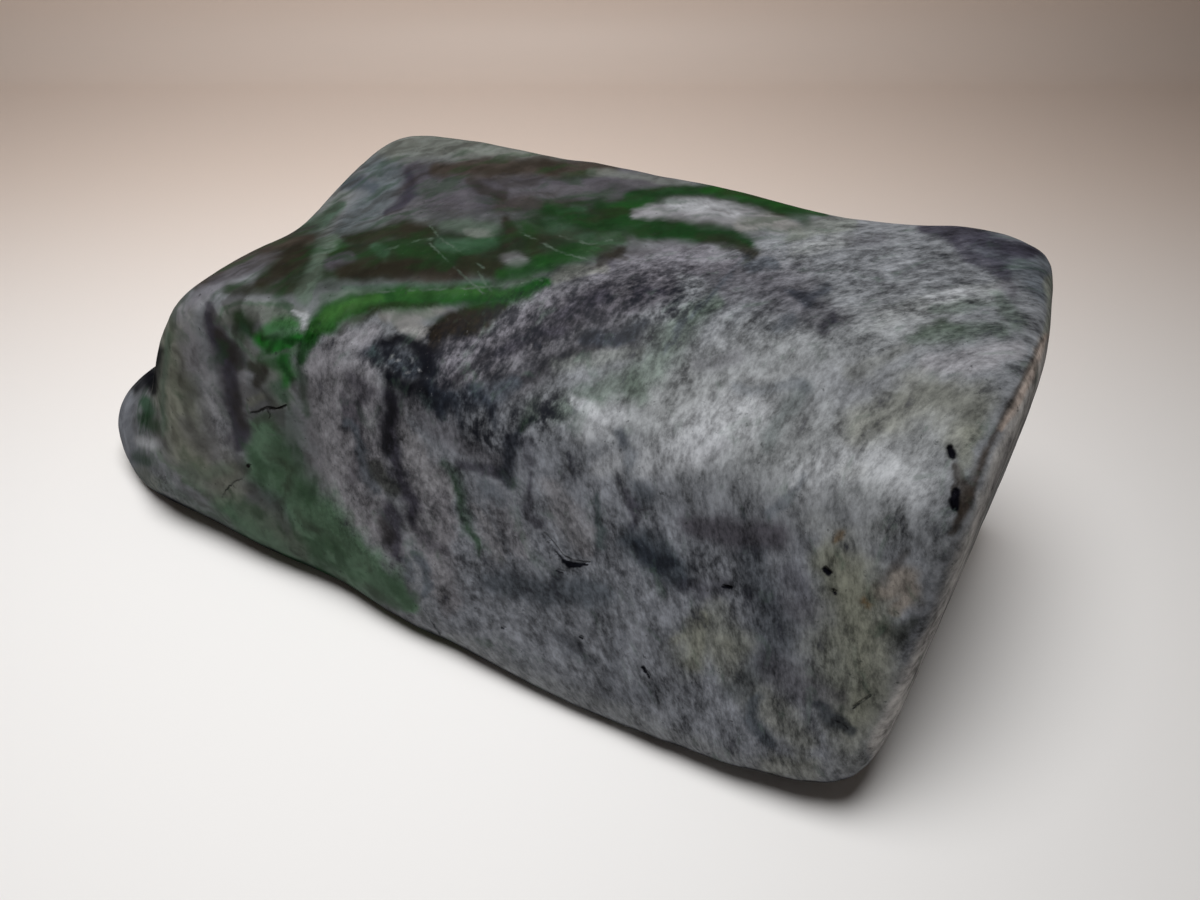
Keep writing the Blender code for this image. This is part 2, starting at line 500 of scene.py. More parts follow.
# %% The top: mineral, cover, softness, and (across, down, half width) in view pixels
TOP_STROKES = [
    # the pale and white strokes along the brow are partly pale stone and partly a painted highlight of the
    # lamp
    ("pale", 0.45, 1.0, [(590, 424, 20), (650, 400, 34), (720, 380, 40), (820, 340, 30), (930, 320, 26)]),
    ("pale", 0.6, 1.0, [(690, 420, 40), (780, 440, 46), (880, 470, 42), (930, 440, 30)]),
    ("white", 0.65, 0.9, [(600, 470, 10), (655, 460, 20), (700, 435, 28), (750, 410, 24)]),
    ("white", 0.5, 0.9, [(586, 438, 7), (604, 428, 12), (620, 416, 8)]),
    ("pale_sage", 0.6, 1.0, [(558, 412, 10), (590, 396, 12), (625, 380, 12), (640, 400, 8)]),
    ("navy", 0.6, 0.8, [(576, 412, 3), (586, 404, 4)]),
    ("steel", 0.6, 0.8, [(622, 436, 5), (632, 456, 7), (628, 474, 5)]),
    ("violet", 0.4, 0.9, [(690, 450, 10), (720, 446, 10)]),
    # partly pale stone and partly a painted highlight of the lamp on the brow
    ("white", 0.5, 0.9, [(800, 480, 16), (830, 470, 20), (870, 455, 20), (910, 480, 24)]),
    ("pale_lavender", 0.85, 0.6, [(925, 366, 8), (980, 358, 13), (1015, 350, 10)]),
    ("pale", 0.6, 0.8, [(880, 318, 8), (940, 302, 9), (1000, 288, 8)]),
    ("pale", 0.6, 0.7, [(795, 252, 8), (830, 244, 9), (850, 236, 6)]),
    ("lavender", 0.5, 0.9, [(600, 276, 12), (650, 262, 15), (700, 256, 15), (745, 268, 16), (800, 285, 18)]),
    ("violet", 0.6, 0.9, [(720, 280, 16), (790, 300, 22), (840, 322, 12)]),
    ("violet", 0.7, 0.6, [(688, 268, 5), (706, 272, 6)]),
    ("olive_dark", 0.8, 0.6, [(742, 242, 6), (750, 250, 8), (745, 262, 4)]),
    ("steel", 0.7, 0.6, [(750, 268, 7), (772, 264, 6)]),
    ("navy", 0.75, 0.8, [(792, 290, 6), (806, 298, 8), (828, 287, 5)]),
    ("dark_violet", 0.7, 0.8, [(822, 330, 6), (834, 316, 5)]),
    ("steel", 0.5, 0.8, [(775, 330, 7), (790, 318, 6)]),
    ("pale_sage", 0.65, 0.9, [(635, 380, 14), (665, 350, 18), (690, 318, 14), (715, 300, 8)]),
    ("moss", 0.35, 0.7, [(690, 322, 3), (708, 310, 4), (722, 300, 3)]),
    ("pale_sage", 0.6, 0.8, [(915, 338, 8), (955, 333, 9), (1000, 330, 8)]),
    ("pale_sage", 0.55, 0.8, [(935, 308, 6), (1000, 300, 8), (1020, 320, 9)]),
    ("moss", 0.4, 0.7, [(922, 328, 4), (950, 322, 4)]),
    ("olive_pale", 0.5, 1.0, [(860, 425, 16), (915, 402, 24), (975, 404, 18), (960, 440, 14)]),
    ("olive_grey", 0.5, 0.8, [(935, 396, 14), (965, 420, 10)]),
    ("olive_dark", 0.5, 0.6, [(888, 392, 4), (897, 394, 3)]),
    ("olive_grey", 0.5, 0.7, [(855, 370, 10), (880, 360, 8), (905, 350, 6)]),
    ("steel", 0.7, 0.8, [(985, 240, 16), (1030, 265, 20), (1045, 290, 12)]),
    ("dark_violet", 0.9, 0.7, [
        (925, 232, 8), (955, 232, 10), (985, 237, 9), (1000, 244, 10), (1028, 252, 10),
    ]),
    ("dark_violet", 0.8, 0.7, [(955, 244, 5), (985, 258, 9), (1000, 266, 9), (1004, 276, 6)]),
    ("violet", 0.6, 0.7, [(1005, 285, 6), (1018, 292, 5)]),
    ("violet", 0.4, 0.8, [(850, 238, 7), (880, 236, 7)]),
    ("teal", 0.45, 1.0, [(803, 388, 8), (792, 402, 10), (778, 424, 10), (766, 446, 8)]),
    ("navy", 0.5, 0.6, [(800, 386, 6), (806, 390, 5)]),
    ("steel", 0.5, 0.7, [(735, 388, 5), (768, 392, 6), (795, 382, 5)]),
    ("steel", 0.55, 0.6, [(806, 476, 3), (785, 498, 5), (768, 514, 6)]),
    ("violet", 0.45, 0.7, [(740, 360, 8), (700, 366, 7)]),
    ("steel", 0.7, 0.7, [(746, 254, 3), (716, 290, 2.5), (688, 318, 2.5), (664, 352, 2)]),
    # these two white strokes on the brow are partly pale stone and partly a painted highlight of the lamp
    ("white", 0.7, 0.9, [(572, 400, 4), (590, 410, 8), (606, 424, 5)]),
    ("white", 0.6, 0.9, [(680, 452, 12), (700, 440, 16), (724, 428, 10)]),
    ("white", 0.5, 0.9, [(930, 300, 5), (960, 294, 6), (990, 300, 5)]),
    ("olive_grey", 0.6, 0.9, [(905, 402, 9), (935, 396, 12), (968, 408, 12)]),
    ("moss", 0.4, 0.9, [(925, 334, 5), (945, 326, 6), (965, 330, 4)]),
]

# %% The dark band beside the green sheet
BAND_STROKES = [
    ("lavender_shade", 1.0, 0.7, [
        (440, 362, 24), (490, 345, 24), (545, 320, 26), (600, 300, 26), (660, 285, 18),
    ]),
    ("lavender_shade", 0.8, 0.8, [(455, 392, 20), (500, 384, 20), (560, 352, 16), (620, 336, 14)]),
    ("lavender", 0.8, 0.8, [(440, 366, 9), (470, 350, 10), (500, 326, 10), (525, 312, 11), (548, 298, 9)]),
    ("lavender", 0.8, 0.8, [(552, 288, 10), (590, 272, 10), (640, 262, 14), (700, 258, 14), (732, 262, 8)]),
    ("lavender", 0.3, 0.8, [(470, 374, 6), (505, 358, 5), (540, 346, 4)]),
    ("dark_violet", 0.7, 0.9, [(560, 318, 8), (585, 306, 12), (605, 296, 8)]),
    ("violet", 0.7, 0.9, [(540, 332, 7), (575, 324, 10), (620, 312, 9), (650, 300, 6)]),
    ("dark_violet", 0.6, 0.9, [(490, 356, 4), (512, 344, 6), (540, 336, 6), (560, 330, 5)]),
    ("black", 0.75, 0.7, [(452, 378, 4), (470, 364, 4), (492, 354, 4)]),
    ("black", 0.7, 0.9, [
        (500, 386, 5), (518, 380, 6), (530, 372, 6), (548, 362, 5), (575, 352, 6), (600, 346, 4),
    ]),
    ("navy", 0.85, 0.7, [(585, 340, 6), (610, 336, 8), (632, 330, 7), (650, 322, 5)]),
    ("dark_violet", 0.6, 0.8, [(636, 294, 4), (652, 290, 5), (664, 292, 4)]),
    ("dark_violet", 0.5, 0.9, [(600, 270, 5), (610, 262, 7)]),
    ("stone_grey", 0.6, 0.9, [(560, 366, 8), (600, 358, 8), (640, 345, 6)]),
    ("beige", 0.9, 0.6, [(552, 276, 4), (575, 270, 6), (602, 266, 5)]),
    ("umber", 0.6, 0.6, [(598, 252, 4), (616, 254, 5), (628, 258, 3)]),
    ("steel", 0.7, 0.9, [(446, 396, 12), (470, 398, 14), (496, 392, 12), (512, 384, 7)]),
    ("black", 0.8, 0.6, [(443, 382, 4), (447, 396, 5), (442, 410, 4)]),
    ("navy", 0.8, 0.9, [(474, 384, 5), (484, 396, 6), (492, 412, 5), (498, 428, 4)]),
    ("navy", 0.7, 0.9, [(452, 392, 4), (458, 408, 5), (464, 424, 4)]),
    ("teal", 0.7, 0.7, [(426, 392, 6), (434, 402, 5)]),
    ("beige", 0.9, 0.5, [(384, 318, 6), (402, 313, 8), (428, 312, 8), (445, 310, 4)]),
    ("beige", 0.9, 0.6, [(400, 324, 8), (418, 330, 9), (432, 334, 4)]),
    ("lavender", 0.9, 0.6, [(448, 308, 4), (462, 304, 3)]),
    ("umber", 1.0, 0.35, [(436, 336, 9), (455, 325, 14), (478, 316, 14), (494, 308, 8), (504, 302, 3)]),
    ("dark_brown", 0.9, 0.5, [(430, 350, 6), (440, 336, 8), (456, 324, 7)]),
    ("dark_brown", 0.6, 0.6, [(462, 316, 5), (484, 312, 6)]),
]

# %% The green sheet and its olive and brown clots, where it crosses the top
VEIN_STROKES = [
    ("dark_sage", 1.0, 0.8, [(300, 262, 34), (350, 258, 26), (420, 250, 30), (500, 252, 32), (560, 240, 34)]),
    ("dark_sage", 1.0, 0.8, [(560, 228, 24), (620, 218, 22), (700, 212, 24), (780, 210, 14)]),
    ("brown", 0.9, 0.8, [(196, 286, 5), (215, 270, 8), (240, 258, 8), (275, 245, 7), (310, 238, 5)]),
    ("lavender_shade", 0.9, 0.8, [(212, 280, 5), (240, 272, 7), (262, 263, 8), (278, 257, 5)]),
    ("umber", 0.95, 0.8, [(262, 282, 7), (282, 266, 12), (300, 254, 9)]),
    ("olive_dark", 0.85, 0.8, [(226, 289, 5), (262, 290, 7), (295, 288, 8)]),
    ("lavender", 0.7, 0.8, [(186, 300, 7), (202, 291, 6), (222, 287, 4)]),
    ("pale_sage", 0.85, 0.8, [(338, 238, 5), (322, 250, 7), (316, 268, 7), (308, 286, 7), (302, 298, 7)]),
    ("leaf", 0.5, 0.8, [(342, 244, 5), (334, 256, 5)]),
    ("violet", 0.9, 0.8, [(328, 266, 5), (340, 261, 6), (350, 258, 4)]),
    ("umber", 0.95, 0.8, [(340, 272, 7), (365, 268, 10), (400, 266, 12), (440, 270, 11), (462, 272, 7)]),
    ("brown", 0.4, 0.9, [(400, 278, 6), (440, 280, 6), (470, 272, 6)]),
    ("olive_dark", 0.8, 0.7, [(465, 262, 9), (490, 268, 9), (500, 272, 6)]),
    ("olive_dark", 0.95, 0.8, [(350, 238, 5), (385, 232, 6), (405, 230, 9), (430, 230, 8)]),
    ("umber", 0.7, 0.7, [(404, 226, 5), (425, 226, 6)]),
    ("green_sage", 0.7, 0.8, [(372, 246, 4), (384, 252, 6)]),
    ("moss", 0.9, 0.8, [(402, 250, 5), (420, 252, 6), (440, 252, 5)]),
    ("green_sage", 0.8, 0.8, [(442, 244, 6), (470, 246, 7), (492, 242, 6)]),
    ("pale_sage", 0.6, 0.9, [(444, 224, 4), (468, 227, 6), (494, 229, 5)]),
    ("stone_grey", 0.6, 0.8, [(470, 232, 4), (490, 234, 4)]),
    ("umber", 0.85, 0.8, [(506, 222, 5), (512, 234, 8), (506, 244, 5)]),
    ("moss", 0.8, 0.7, [(526, 226, 5), (532, 240, 8), (534, 254, 6)]),
    ("green_sage", 0.5, 0.9, [(548, 222, 6), (570, 230, 8), (590, 238, 6)]),
    ("green_sage", 0.6, 0.8, [(572, 208, 4), (584, 212, 5)]),
    ("deep_green", 0.9, 0.8, [(548, 208, 7), (590, 222, 8), (640, 226, 9), (690, 230, 9)]),
    ("deep_green", 0.8, 0.7, [(600, 206, 7), (640, 210, 8), (620, 220, 8)]),
    ("leaf", 0.65, 0.9, [(540, 262, 6), (565, 256, 8), (595, 248, 8), (620, 240, 7)]),
    ("umber", 0.8, 0.8, [(598, 262, 5), (608, 256, 5), (622, 250, 4)]),
    ("leaf", 0.65, 0.9, [(500, 274, 6), (525, 272, 8), (548, 264, 6)]),
    ("pale_lavender", 0.6, 1.0, [(504, 257, 4), (515, 259, 6), (526, 261, 3)]),
    ("deep_green", 0.95, 0.8, [(640, 232, 7), (690, 234, 8), (735, 236, 8), (748, 240, 6)]),
    ("umber", 0.6, 0.7, [(700, 238, 5), (735, 242, 6), (750, 250, 6)]),
    ("leaf", 0.6, 0.9, [(610, 212, 6), (650, 202, 5)]),
    ("deep_green", 0.95, 0.8, [(630, 198, 5), (670, 192, 6), (715, 188, 6), (745, 188, 5)]),
    ("leaf", 0.95, 0.8, [(705, 190, 4), (740, 192, 7), (775, 199, 9), (800, 206, 9), (826, 213, 4)]),
    ("deep_green", 0.7, 0.8, [(785, 206, 5), (800, 214, 7), (806, 222, 5)]),
    ("pale_lavender", 1.0, 0.8, [(634, 214, 4), (672, 210, 8), (712, 211, 10), (750, 217, 9), (768, 222, 6)]),
    ("white", 0.7, 0.8, [(668, 207, 5), (700, 206, 6), (735, 210, 6)]),
    ("beige", 0.95, 0.8, [(742, 224, 6), (770, 222, 7), (790, 226, 6), (800, 230, 4)]),
    ("stone_grey", 0.8, 0.8, [(790, 234, 6), (825, 226, 8), (850, 220, 5)]),
    ("green_sage", 0.6, 0.9, [(345, 288, 3), (400, 286, 4), (450, 285, 4), (485, 283, 4)]),
    ("leaf", 1.0, 0.8, [(311, 338, 6), (320, 322, 11), (338, 312, 13), (366, 304, 12), (400, 299, 11)]),
    ("leaf", 1.0, 0.8, [(400, 299, 11), (440, 298, 10), (490, 294, 10), (520, 289, 8), (544, 280, 4)]),
    ("vein", 0.95, 0.9, [(316, 328, 6), (330, 314, 9), (352, 304, 10), (384, 297, 7)]),
    ("vein", 0.75, 0.9, [(396, 297, 6), (440, 295, 7), (484, 291, 6), (506, 288, 4)]),
    ("lime", 0.6, 0.9, [(324, 316, 4), (342, 305, 6), (364, 299, 6), (378, 297, 3)]),
    ("lime", 0.3, 0.9, [(408, 295, 3), (450, 292, 3), (490, 289, 3)]),
    ("deep_green", 0.6, 0.9, [(386, 291, 3), (390, 300, 5), (387, 309, 4)]),
    ("deep_green", 0.5, 0.9, [(500, 298, 4), (524, 292, 5), (540, 284, 4)]),
    ("pale_sage", 0.6, 0.8, [(325, 298, 4), (342, 293, 3), (375, 290, 3)]),
    ("umber", 0.6, 0.9, [(342, 328, 3), (356, 319, 4), (376, 313, 4)]),
    ("olive_dark", 0.6, 0.7, [(372, 308, 4), (400, 306, 3), (440, 304, 3)]),
]

# %% The left part of the back edge
BACK_EDGE_STROKES = [
    ("violet", 1.0, 0.8, [(400, 175, 26), (450, 190, 32), (520, 195, 30), (600, 190, 24), (660, 180, 12)]),
    ("stone_grey", 1.0, 0.8, [(370, 158, 8), (400, 146, 14), (440, 142, 16), (500, 148, 12), (550, 153, 7)]),
    ("blue_grey", 1.0, 0.8, [(375, 165, 12), (388, 175, 14), (378, 198, 16), (360, 218, 14), (342, 228, 8)]),
    ("stone_grey", 0.5, 0.9, [(352, 172, 8), (340, 196, 10), (322, 212, 10)]),
    ("green_sage", 0.8, 0.7, [(300, 232, 8), (322, 220, 9), (338, 206, 6)]),
    ("steel", 0.9, 0.8, [(344, 184, 6), (362, 182, 8), (372, 190, 5)]),
    ("dark_violet", 0.95, 0.8, [(409, 176, 5), (411, 192, 6), (404, 202, 5), (392, 211, 5), (384, 214, 3)]),
    ("lavender_shade", 0.7, 0.8, [(425, 188, 9), (450, 188, 8), (470, 200, 8)]),
    ("lavender_shade", 0.7, 0.8, [(395, 220, 8), (420, 208, 8), (450, 206, 7)]),
    ("brown", 0.95, 0.8, [(436, 170, 6), (470, 167, 10), (520, 166, 10), (570, 168, 10), (612, 168, 6)]),
    ("umber", 0.6, 0.8, [(542, 166, 5), (560, 168, 6)]),
    ("umber", 0.7, 0.7, [(472, 180, 5), (482, 190, 5), (502, 196, 5)]),
    ("brown", 0.6, 0.8, [(500, 205, 8), (540, 202, 6), (580, 202, 5)]),
    ("lavender_shade", 0.95, 0.8, [
        (512, 190, 5), (550, 191, 8), (600, 190, 8), (640, 185, 6), (660, 182, 3),
    ]),
    ("stone_grey", 0.6, 0.8, [(590, 172, 4), (640, 176, 4), (690, 184, 4)]),
    ("violet", 0.6, 0.8, [(262, 246, 5), (290, 236, 6), (315, 232, 5)]),
]

# %% The left face, with its violet and green lenses
BROW_LEFT_STROKES = [
    ("stone_olive", 1.0, 0.7, [
        (172, 312, 18), (174, 350, 18), (176, 400, 22), (190, 446, 24), (226, 480, 20),
    ]),
    ("mauve", 0.85, 0.8, [(178, 312, 9), (186, 340, 13), (194, 366, 12)]),
    ("pale_lavender", 0.6, 0.9, [(184, 308, 6), (196, 302, 7), (206, 296, 5)]),
    ("olive_pale", 0.35, 1.0, [(172, 330, 10), (170, 380, 12), (176, 430, 14), (200, 462, 12)]),
    ("pale_lavender", 0.6, 0.9, [(206, 372, 8), (212, 400, 11), (216, 430, 12), (222, 456, 10)]),
    ("olive_dark", 0.4, 0.9, [(176, 376, 9), (194, 390, 8), (190, 404, 6)]),
    ("lavender_shade", 0.5, 0.9, [(184, 420, 8), (200, 445, 10), (214, 458, 8)]),
    ("pale_sage", 0.5, 0.9, [(168, 335, 3), (164, 380, 4), (163, 430, 4)]),
    ("green_sage", 0.4, 0.9, [(184, 468, 6), (205, 476, 7), (228, 470, 7)]),
    ("stone_grey", 1.0, 0.6, [(224, 316, 10), (246, 312, 12), (272, 314, 12), (296, 318, 10)]),
    ("stone_grey", 0.9, 0.7, [(236, 340, 8), (250, 356, 8), (270, 372, 10), (282, 396, 10)]),
    ("violet", 0.9, 0.6, [
        (209, 304, 4), (210, 322, 6), (220, 346, 11), (230, 372, 11), (233, 402, 10), (240, 436, 10),
    ]),
    ("dark_violet", 0.8, 0.7, [(208, 314, 3), (212, 332, 4), (226, 352, 6), (232, 384, 6), (235, 410, 6)]),
    ("dark_violet", 0.8, 0.7, [(235, 410, 6), (240, 430, 8), (242, 446, 5)]),
    ("dark_violet", 0.7, 0.9, [(214, 336, 5), (228, 346, 9), (240, 360, 7)]),
    ("umber", 0.7, 0.9, [(218, 334, 5), (230, 350, 7), (240, 366, 5)]),
    ("umber", 0.5, 0.9, [(236, 400, 6), (244, 424, 6)]),
    ("mauve", 0.5, 0.9, [(243, 372, 4), (247, 396, 5)]),
    ("deep_green", 0.9, 0.8, [(238, 318, 7), (246, 328, 9), (250, 334, 6)]),
    ("moss", 0.6, 0.8, [(234, 330, 5), (240, 340, 5)]),
    ("emerald", 0.7, 0.9, [(256, 340, 5), (266, 331, 6), (282, 326, 8), (300, 324, 7)]),
    ("emerald", 0.9, 0.9, [(260, 342, 6), (272, 348, 10), (286, 346, 11), (300, 340, 8)]),
    ("emerald", 0.85, 0.9, [(284, 362, 9), (288, 374, 9), (284, 386, 4)]),
    ("leaf", 0.7, 0.8, [(262, 358, 6), (276, 364, 5)]),
    ("green_sage", 0.7, 0.9, [(276, 384, 6), (284, 396, 6)]),
    ("deep_green", 0.9, 0.8, [(288, 342, 4), (296, 345, 3)]),
    ("deep_green", 0.8, 0.9, [(268, 352, 3), (276, 338, 4), (262, 340, 2)]),
    ("deep_green", 0.8, 0.9, [(282, 366, 3), (292, 380, 3)]),
    ("pale_sage", 0.7, 0.8, [(262, 358, 2), (276, 355, 2.4), (286, 352, 2)]),
    ("pale_sage", 0.6, 0.8, [(298, 350, 2), (300, 364, 2), (294, 372, 1.5)]),
    ("deep_green", 0.9, 0.6, [(304, 362, 5), (304, 348, 6), (316, 340, 5)]),
    ("umber", 0.85, 0.7, [(252, 366, 6), (262, 370, 8), (258, 382, 6)]),
    ("olive_dark", 0.5, 0.8, [(266, 392, 6), (272, 402, 5)]),
    ("stone_olive", 0.8, 0.8, [(252, 400, 5), (262, 396, 5)]),
    ("pale_sage", 0.7, 0.7, [(258, 420, 4), (272, 416, 5)]),
    ("pale_sage", 0.8, 0.7, [(216, 322, 2), (222, 308, 2), (240, 303, 2), (270, 304, 2), (292, 306, 2)]),
    ("pale_sage", 0.6, 0.7, [(222, 326, 2), (236, 342, 2.2), (254, 358, 2)]),
    ("pale_sage", 0.9, 0.6, [(286, 308, 3), (296, 320, 4), (306, 336, 3)]),
    # painted highlight: a small glint of the lamp on the brow
    ("white", 0.9, 0.6, [(292, 312, 2.5), (302, 316, 4.5), (304, 328, 4)]),
    ("pale_sage", 0.7, 0.6, [(284, 353, 2), (297, 350, 2)]),
]

# %% The green foot of the left face
LEFT_STROKES = [
    ("sage", 1.0, 0.5, [
        (262, 430, 16), (272, 470, 26), (300, 515, 32), (345, 555, 26), (382, 585, 17), (408, 607, 8),
    ]),
    ("sage", 1.0, 0.5, [(225, 500, 14), (262, 530, 18), (310, 556, 18), (350, 580, 12)]),
    ("moss", 0.35, 0.8, [(282, 440, 14), (290, 470, 16), (322, 520, 12), (350, 545, 12)]),
    ("deep_green", 0.4, 0.9, [(284, 412, 8), (290, 440, 12), (298, 462, 9)]),
    ("steel", 0.5, 0.9, [(252, 492, 9), (272, 505, 11), (286, 526, 8)]),
    ("olive_grey", 0.6, 0.8, [(250, 500, 16), (272, 520, 14), (300, 550, 10)]),
    ("dark_violet", 0.4, 0.9, [(252, 490, 12), (275, 500, 10)]),
    ("moss", 0.4, 0.7, [(322, 538, 5), (335, 545, 5)]),
    ("pale_sage", 0.4, 0.9, [(160, 487, 7), (215, 515, 7), (270, 546, 7), (330, 570, 6), (395, 606, 4)]),
    ("leaf", 0.6, 0.6, [(184, 479, 3), (196, 486, 4), (207, 494, 3)]),
    ("pale_sage", 0.65, 0.5, [
        (152, 438, 2.5), (164, 460, 2.5), (184, 472, 2.5), (206, 487, 2.5), (224, 497, 1.5),
    ]),
    ("olive_dark", 0.5, 0.8, [(228, 466, 7), (245, 470, 6)]),
    ("deep_green", 0.6, 0.9, [(308, 350, 5), (303, 372, 6), (303, 396, 5), (306, 416, 3)]),
]

# %% The front
FRONT_STROKES = [
    ("ash", 1.0, 0.8, [(500, 470, 50), (600, 540, 76), (750, 610, 84), (880, 620, 60)]),
    ("ash", 1.0, 0.8, [(470, 560, 54), (600, 650, 50), (750, 720, 50), (840, 740, 44)]),
    ("ash", 1.0, 0.6, [(440, 440, 44), (450, 520, 44), (470, 600, 36)]),
    ("mauve", 1.0, 0.5, [(326, 365, 20), (332, 420, 26), (340, 470, 24), (364, 515, 20), (390, 545, 12)]),
    ("mauve", 0.9, 0.7, [(345, 345, 10), (368, 340, 14), (360, 380, 20), (365, 430, 18), (372, 490, 14)]),
    ("mauve", 0.9, 0.8, [(330, 338, 6), (350, 334, 6), (372, 330, 6)]),
    ("violet", 0.8, 0.8, [(352, 378, 8), (364, 396, 10), (356, 412, 8), (352, 430, 5)]),
    ("violet", 0.7, 0.8, [(345, 395, 5), (356, 420, 7), (362, 446, 6), (356, 470, 8), (350, 486, 6)]),
    ("steel", 0.75, 0.7, [(352, 425, 4), (362, 450, 5), (366, 476, 8), (376, 492, 7)]),
    ("pale_lavender", 0.5, 0.8, [(322, 405, 8), (326, 440, 10), (338, 478, 9), (352, 510, 8)]),
    ("mauve", 0.9, 0.7, [(395, 410, 10), (404, 440, 8), (420, 520, 16), (440, 560, 18), (450, 600, 14)]),
    ("lavender_shade", 0.7, 0.9, [(410, 400, 10), (440, 425, 14), (470, 450, 12), (500, 460, 10)]),
    ("dark_violet", 0.95, 0.8, [
        (390, 400, 11), (388, 440, 10), (396, 470, 7), (404, 492, 8), (412, 514, 6), (416, 530, 3),
    ]),
    ("olive_dark", 0.7, 0.7, [(374, 462, 5), (380, 478, 7), (392, 492, 7)]),
    ("pale_lavender", 1.0, 0.6, [(408, 434, 6), (416, 456, 14), (430, 478, 15), (444, 494, 9)]),
    ("mauve", 1.0, 0.6, [(432, 500, 12), (446, 520, 12), (440, 545, 8)]),
    ("violet", 0.7, 0.7, [(418, 530, 5), (432, 546, 8), (446, 548, 5)]),
    ("dark_violet", 0.9, 0.7, [(386, 510, 9), (392, 524, 14), (390, 544, 10), (396, 560, 4)]),
    ("umber", 0.5, 0.8, [(380, 520, 7), (386, 538, 7)]),
    ("steel", 0.8, 0.6, [(408, 552, 4), (424, 566, 6), (428, 582, 6), (420, 594, 4)]),
    ("steel", 0.6, 0.8, [(402, 560, 4), (406, 580, 5)]),
    ("pale_lavender", 0.6, 0.7, [(436, 556, 6), (442, 578, 6), (440, 596, 5)]),
    ("green_sage", 0.6, 0.9, [(446, 468, 4), (456, 484, 8), (462, 502, 6), (468, 526, 6), (476, 546, 4)]),
    ("deep_green", 0.7, 1.0, [(450, 480, 2), (460, 498, 3), (462, 516, 2), (474, 540, 2), (480, 552, 1.5)]),
    ("pale_lavender", 0.85, 0.7, [(474, 506, 4), (484, 524, 8), (492, 544, 9), (500, 558, 6)]),
    ("mauve", 0.7, 0.7, [(500, 505, 10), (512, 530, 12), (522, 550, 10)]),
    ("dark_violet", 0.8, 0.7, [(462, 470, 5), (480, 468, 7), (496, 472, 7)]),
    ("steel", 0.6, 0.8, [(486, 488, 8), (500, 500, 8)]),
    ("navy", 0.85, 0.9, [(532, 418, 5), (518, 436, 6), (508, 452, 7), (506, 470, 6), (510, 486, 5)]),
    ("dark_violet", 0.5, 0.9, [(524, 445, 8), (524, 465, 7)]),
    ("moss", 0.6, 0.7, [(536, 402, 5), (532, 416, 6), (526, 428, 4)]),
    ("dark_violet", 0.7, 0.6, [(530, 478, 3), (528, 500, 4), (532, 516, 4), (540, 526, 3)]),
    ("pale_lavender", 0.85, 0.7, [(552, 490, 10), (566, 512, 15), (584, 536, 17), (590, 552, 8)]),
    ("steel", 0.8, 0.9, [(490, 580, 14), (540, 588, 15), (600, 596, 14)]),
    ("teal", 0.7, 0.7, [(600, 500, 4), (602, 522, 5), (606, 544, 4)]),
    ("dark_violet", 0.8, 0.7, [(628, 496, 4), (638, 512, 7), (638, 528, 4)]),
    ("dark_violet", 0.7, 0.6, [(627, 436, 4), (625, 450, 5)]),
    ("steel", 0.7, 0.8, [(630, 470, 8), (650, 500, 10)]),
    ("steel", 1.0, 0.8, [(632, 540, 12), (656, 556, 18), (676, 574, 14)]),
    ("navy", 0.8, 0.7, [(640, 548, 7), (656, 566, 9), (668, 562, 6)]),
    ("navy", 0.5, 0.8, [(560, 640, 8), (572, 648, 8), (590, 664, 5)]),
    ("violet", 0.9, 0.8, [(700, 526, 14), (738, 540, 18), (776, 536, 14)]),
    ("dark_violet", 0.6, 0.8, [(684, 584, 7), (708, 592, 11), (728, 584, 6)]),
    ("dark_violet", 0.5, 0.9, [(786, 572, 10), (806, 590, 12)]),
    ("violet", 0.6, 0.9, [(770, 600, 12), (800, 612, 14), (850, 600, 8)]),
    ("stone_olive", 0.7, 0.9, [(688, 655, 18), (716, 622, 20), (740, 640, 16)]),
    ("olive_pale", 0.5, 0.9, [(676, 640, 6), (700, 618, 7), (690, 665, 6)]),
    ("stone_olive", 0.9, 0.9, [(826, 560, 16), (860, 600, 30), (850, 650, 40), (850, 700, 30)]),
    ("olive_pale", 0.5, 1.0, [(836, 540, 14), (870, 640, 26), (880, 680, 20), (850, 745, 18)]),
    ("olive_pale", 0.5, 0.9, [(720, 650, 14), (760, 700, 18), (800, 740, 14)]),
    ("steel", 0.6, 0.9, [(750, 560, 14), (780, 640, 18), (740, 690, 14)]),
    ("pale", 0.5, 0.9, [(812, 520, 12), (850, 540, 14), (885, 530, 14)]),
    ("violet", 0.6, 0.9, [(770, 660, 14), (800, 690, 18), (840, 700, 12)]),
    ("steel", 0.85, 0.7, [(758, 700, 8), (752, 722, 8), (768, 745, 6)]),
    ("navy", 0.8, 0.7, [(818, 706, 6), (834, 720, 8), (852, 732, 6)]),
    ("navy", 0.35, 0.9, [(620, 640, 10), (600, 700, 8), (650, 690, 12)]),
    ("olive_dark", 0.7, 0.8, [(882, 628, 6), (902, 636, 9), (914, 622, 6)]),
    ("olive_pale", 0.6, 0.9, [(772, 766, 10), (810, 768, 10)]),
    ("pink", 0.85, 0.7, [(886, 594, 9), (904, 580, 14), (914, 600, 11), (898, 610, 7)]),
    ("brown", 0.5, 0.8, [(876, 586, 4), (894, 568, 4), (906, 552, 4)]),
    ("rust", 0.8, 0.6, [(866, 603, 4), (873, 608, 3)]),
    ("rust", 0.75, 0.6, [(837, 531, 4), (832, 542, 4)]),
    ("olive_pale", 0.5, 0.8, [(845, 470, 8), (862, 466, 7)]),
    # painted light: the lower rim of the front is lightened to stand for light bounced up from the table
    ("pale", 0.4, 1.0, [(450, 640, 7), (560, 692, 9), (700, 745, 9), (800, 776, 10), (860, 760, 8)]),
    ("brown", 0.8, 0.6, [(958, 466, 5), (966, 490, 7), (962, 512, 6), (952, 530, 4)]),
    ("dark_brown", 0.8, 0.5, [(955, 465, 3), (955, 485, 4), (958, 510, 4)]),
    ("stone_olive", 0.7, 0.7, [(972, 440, 10), (966, 462, 6)]),
]

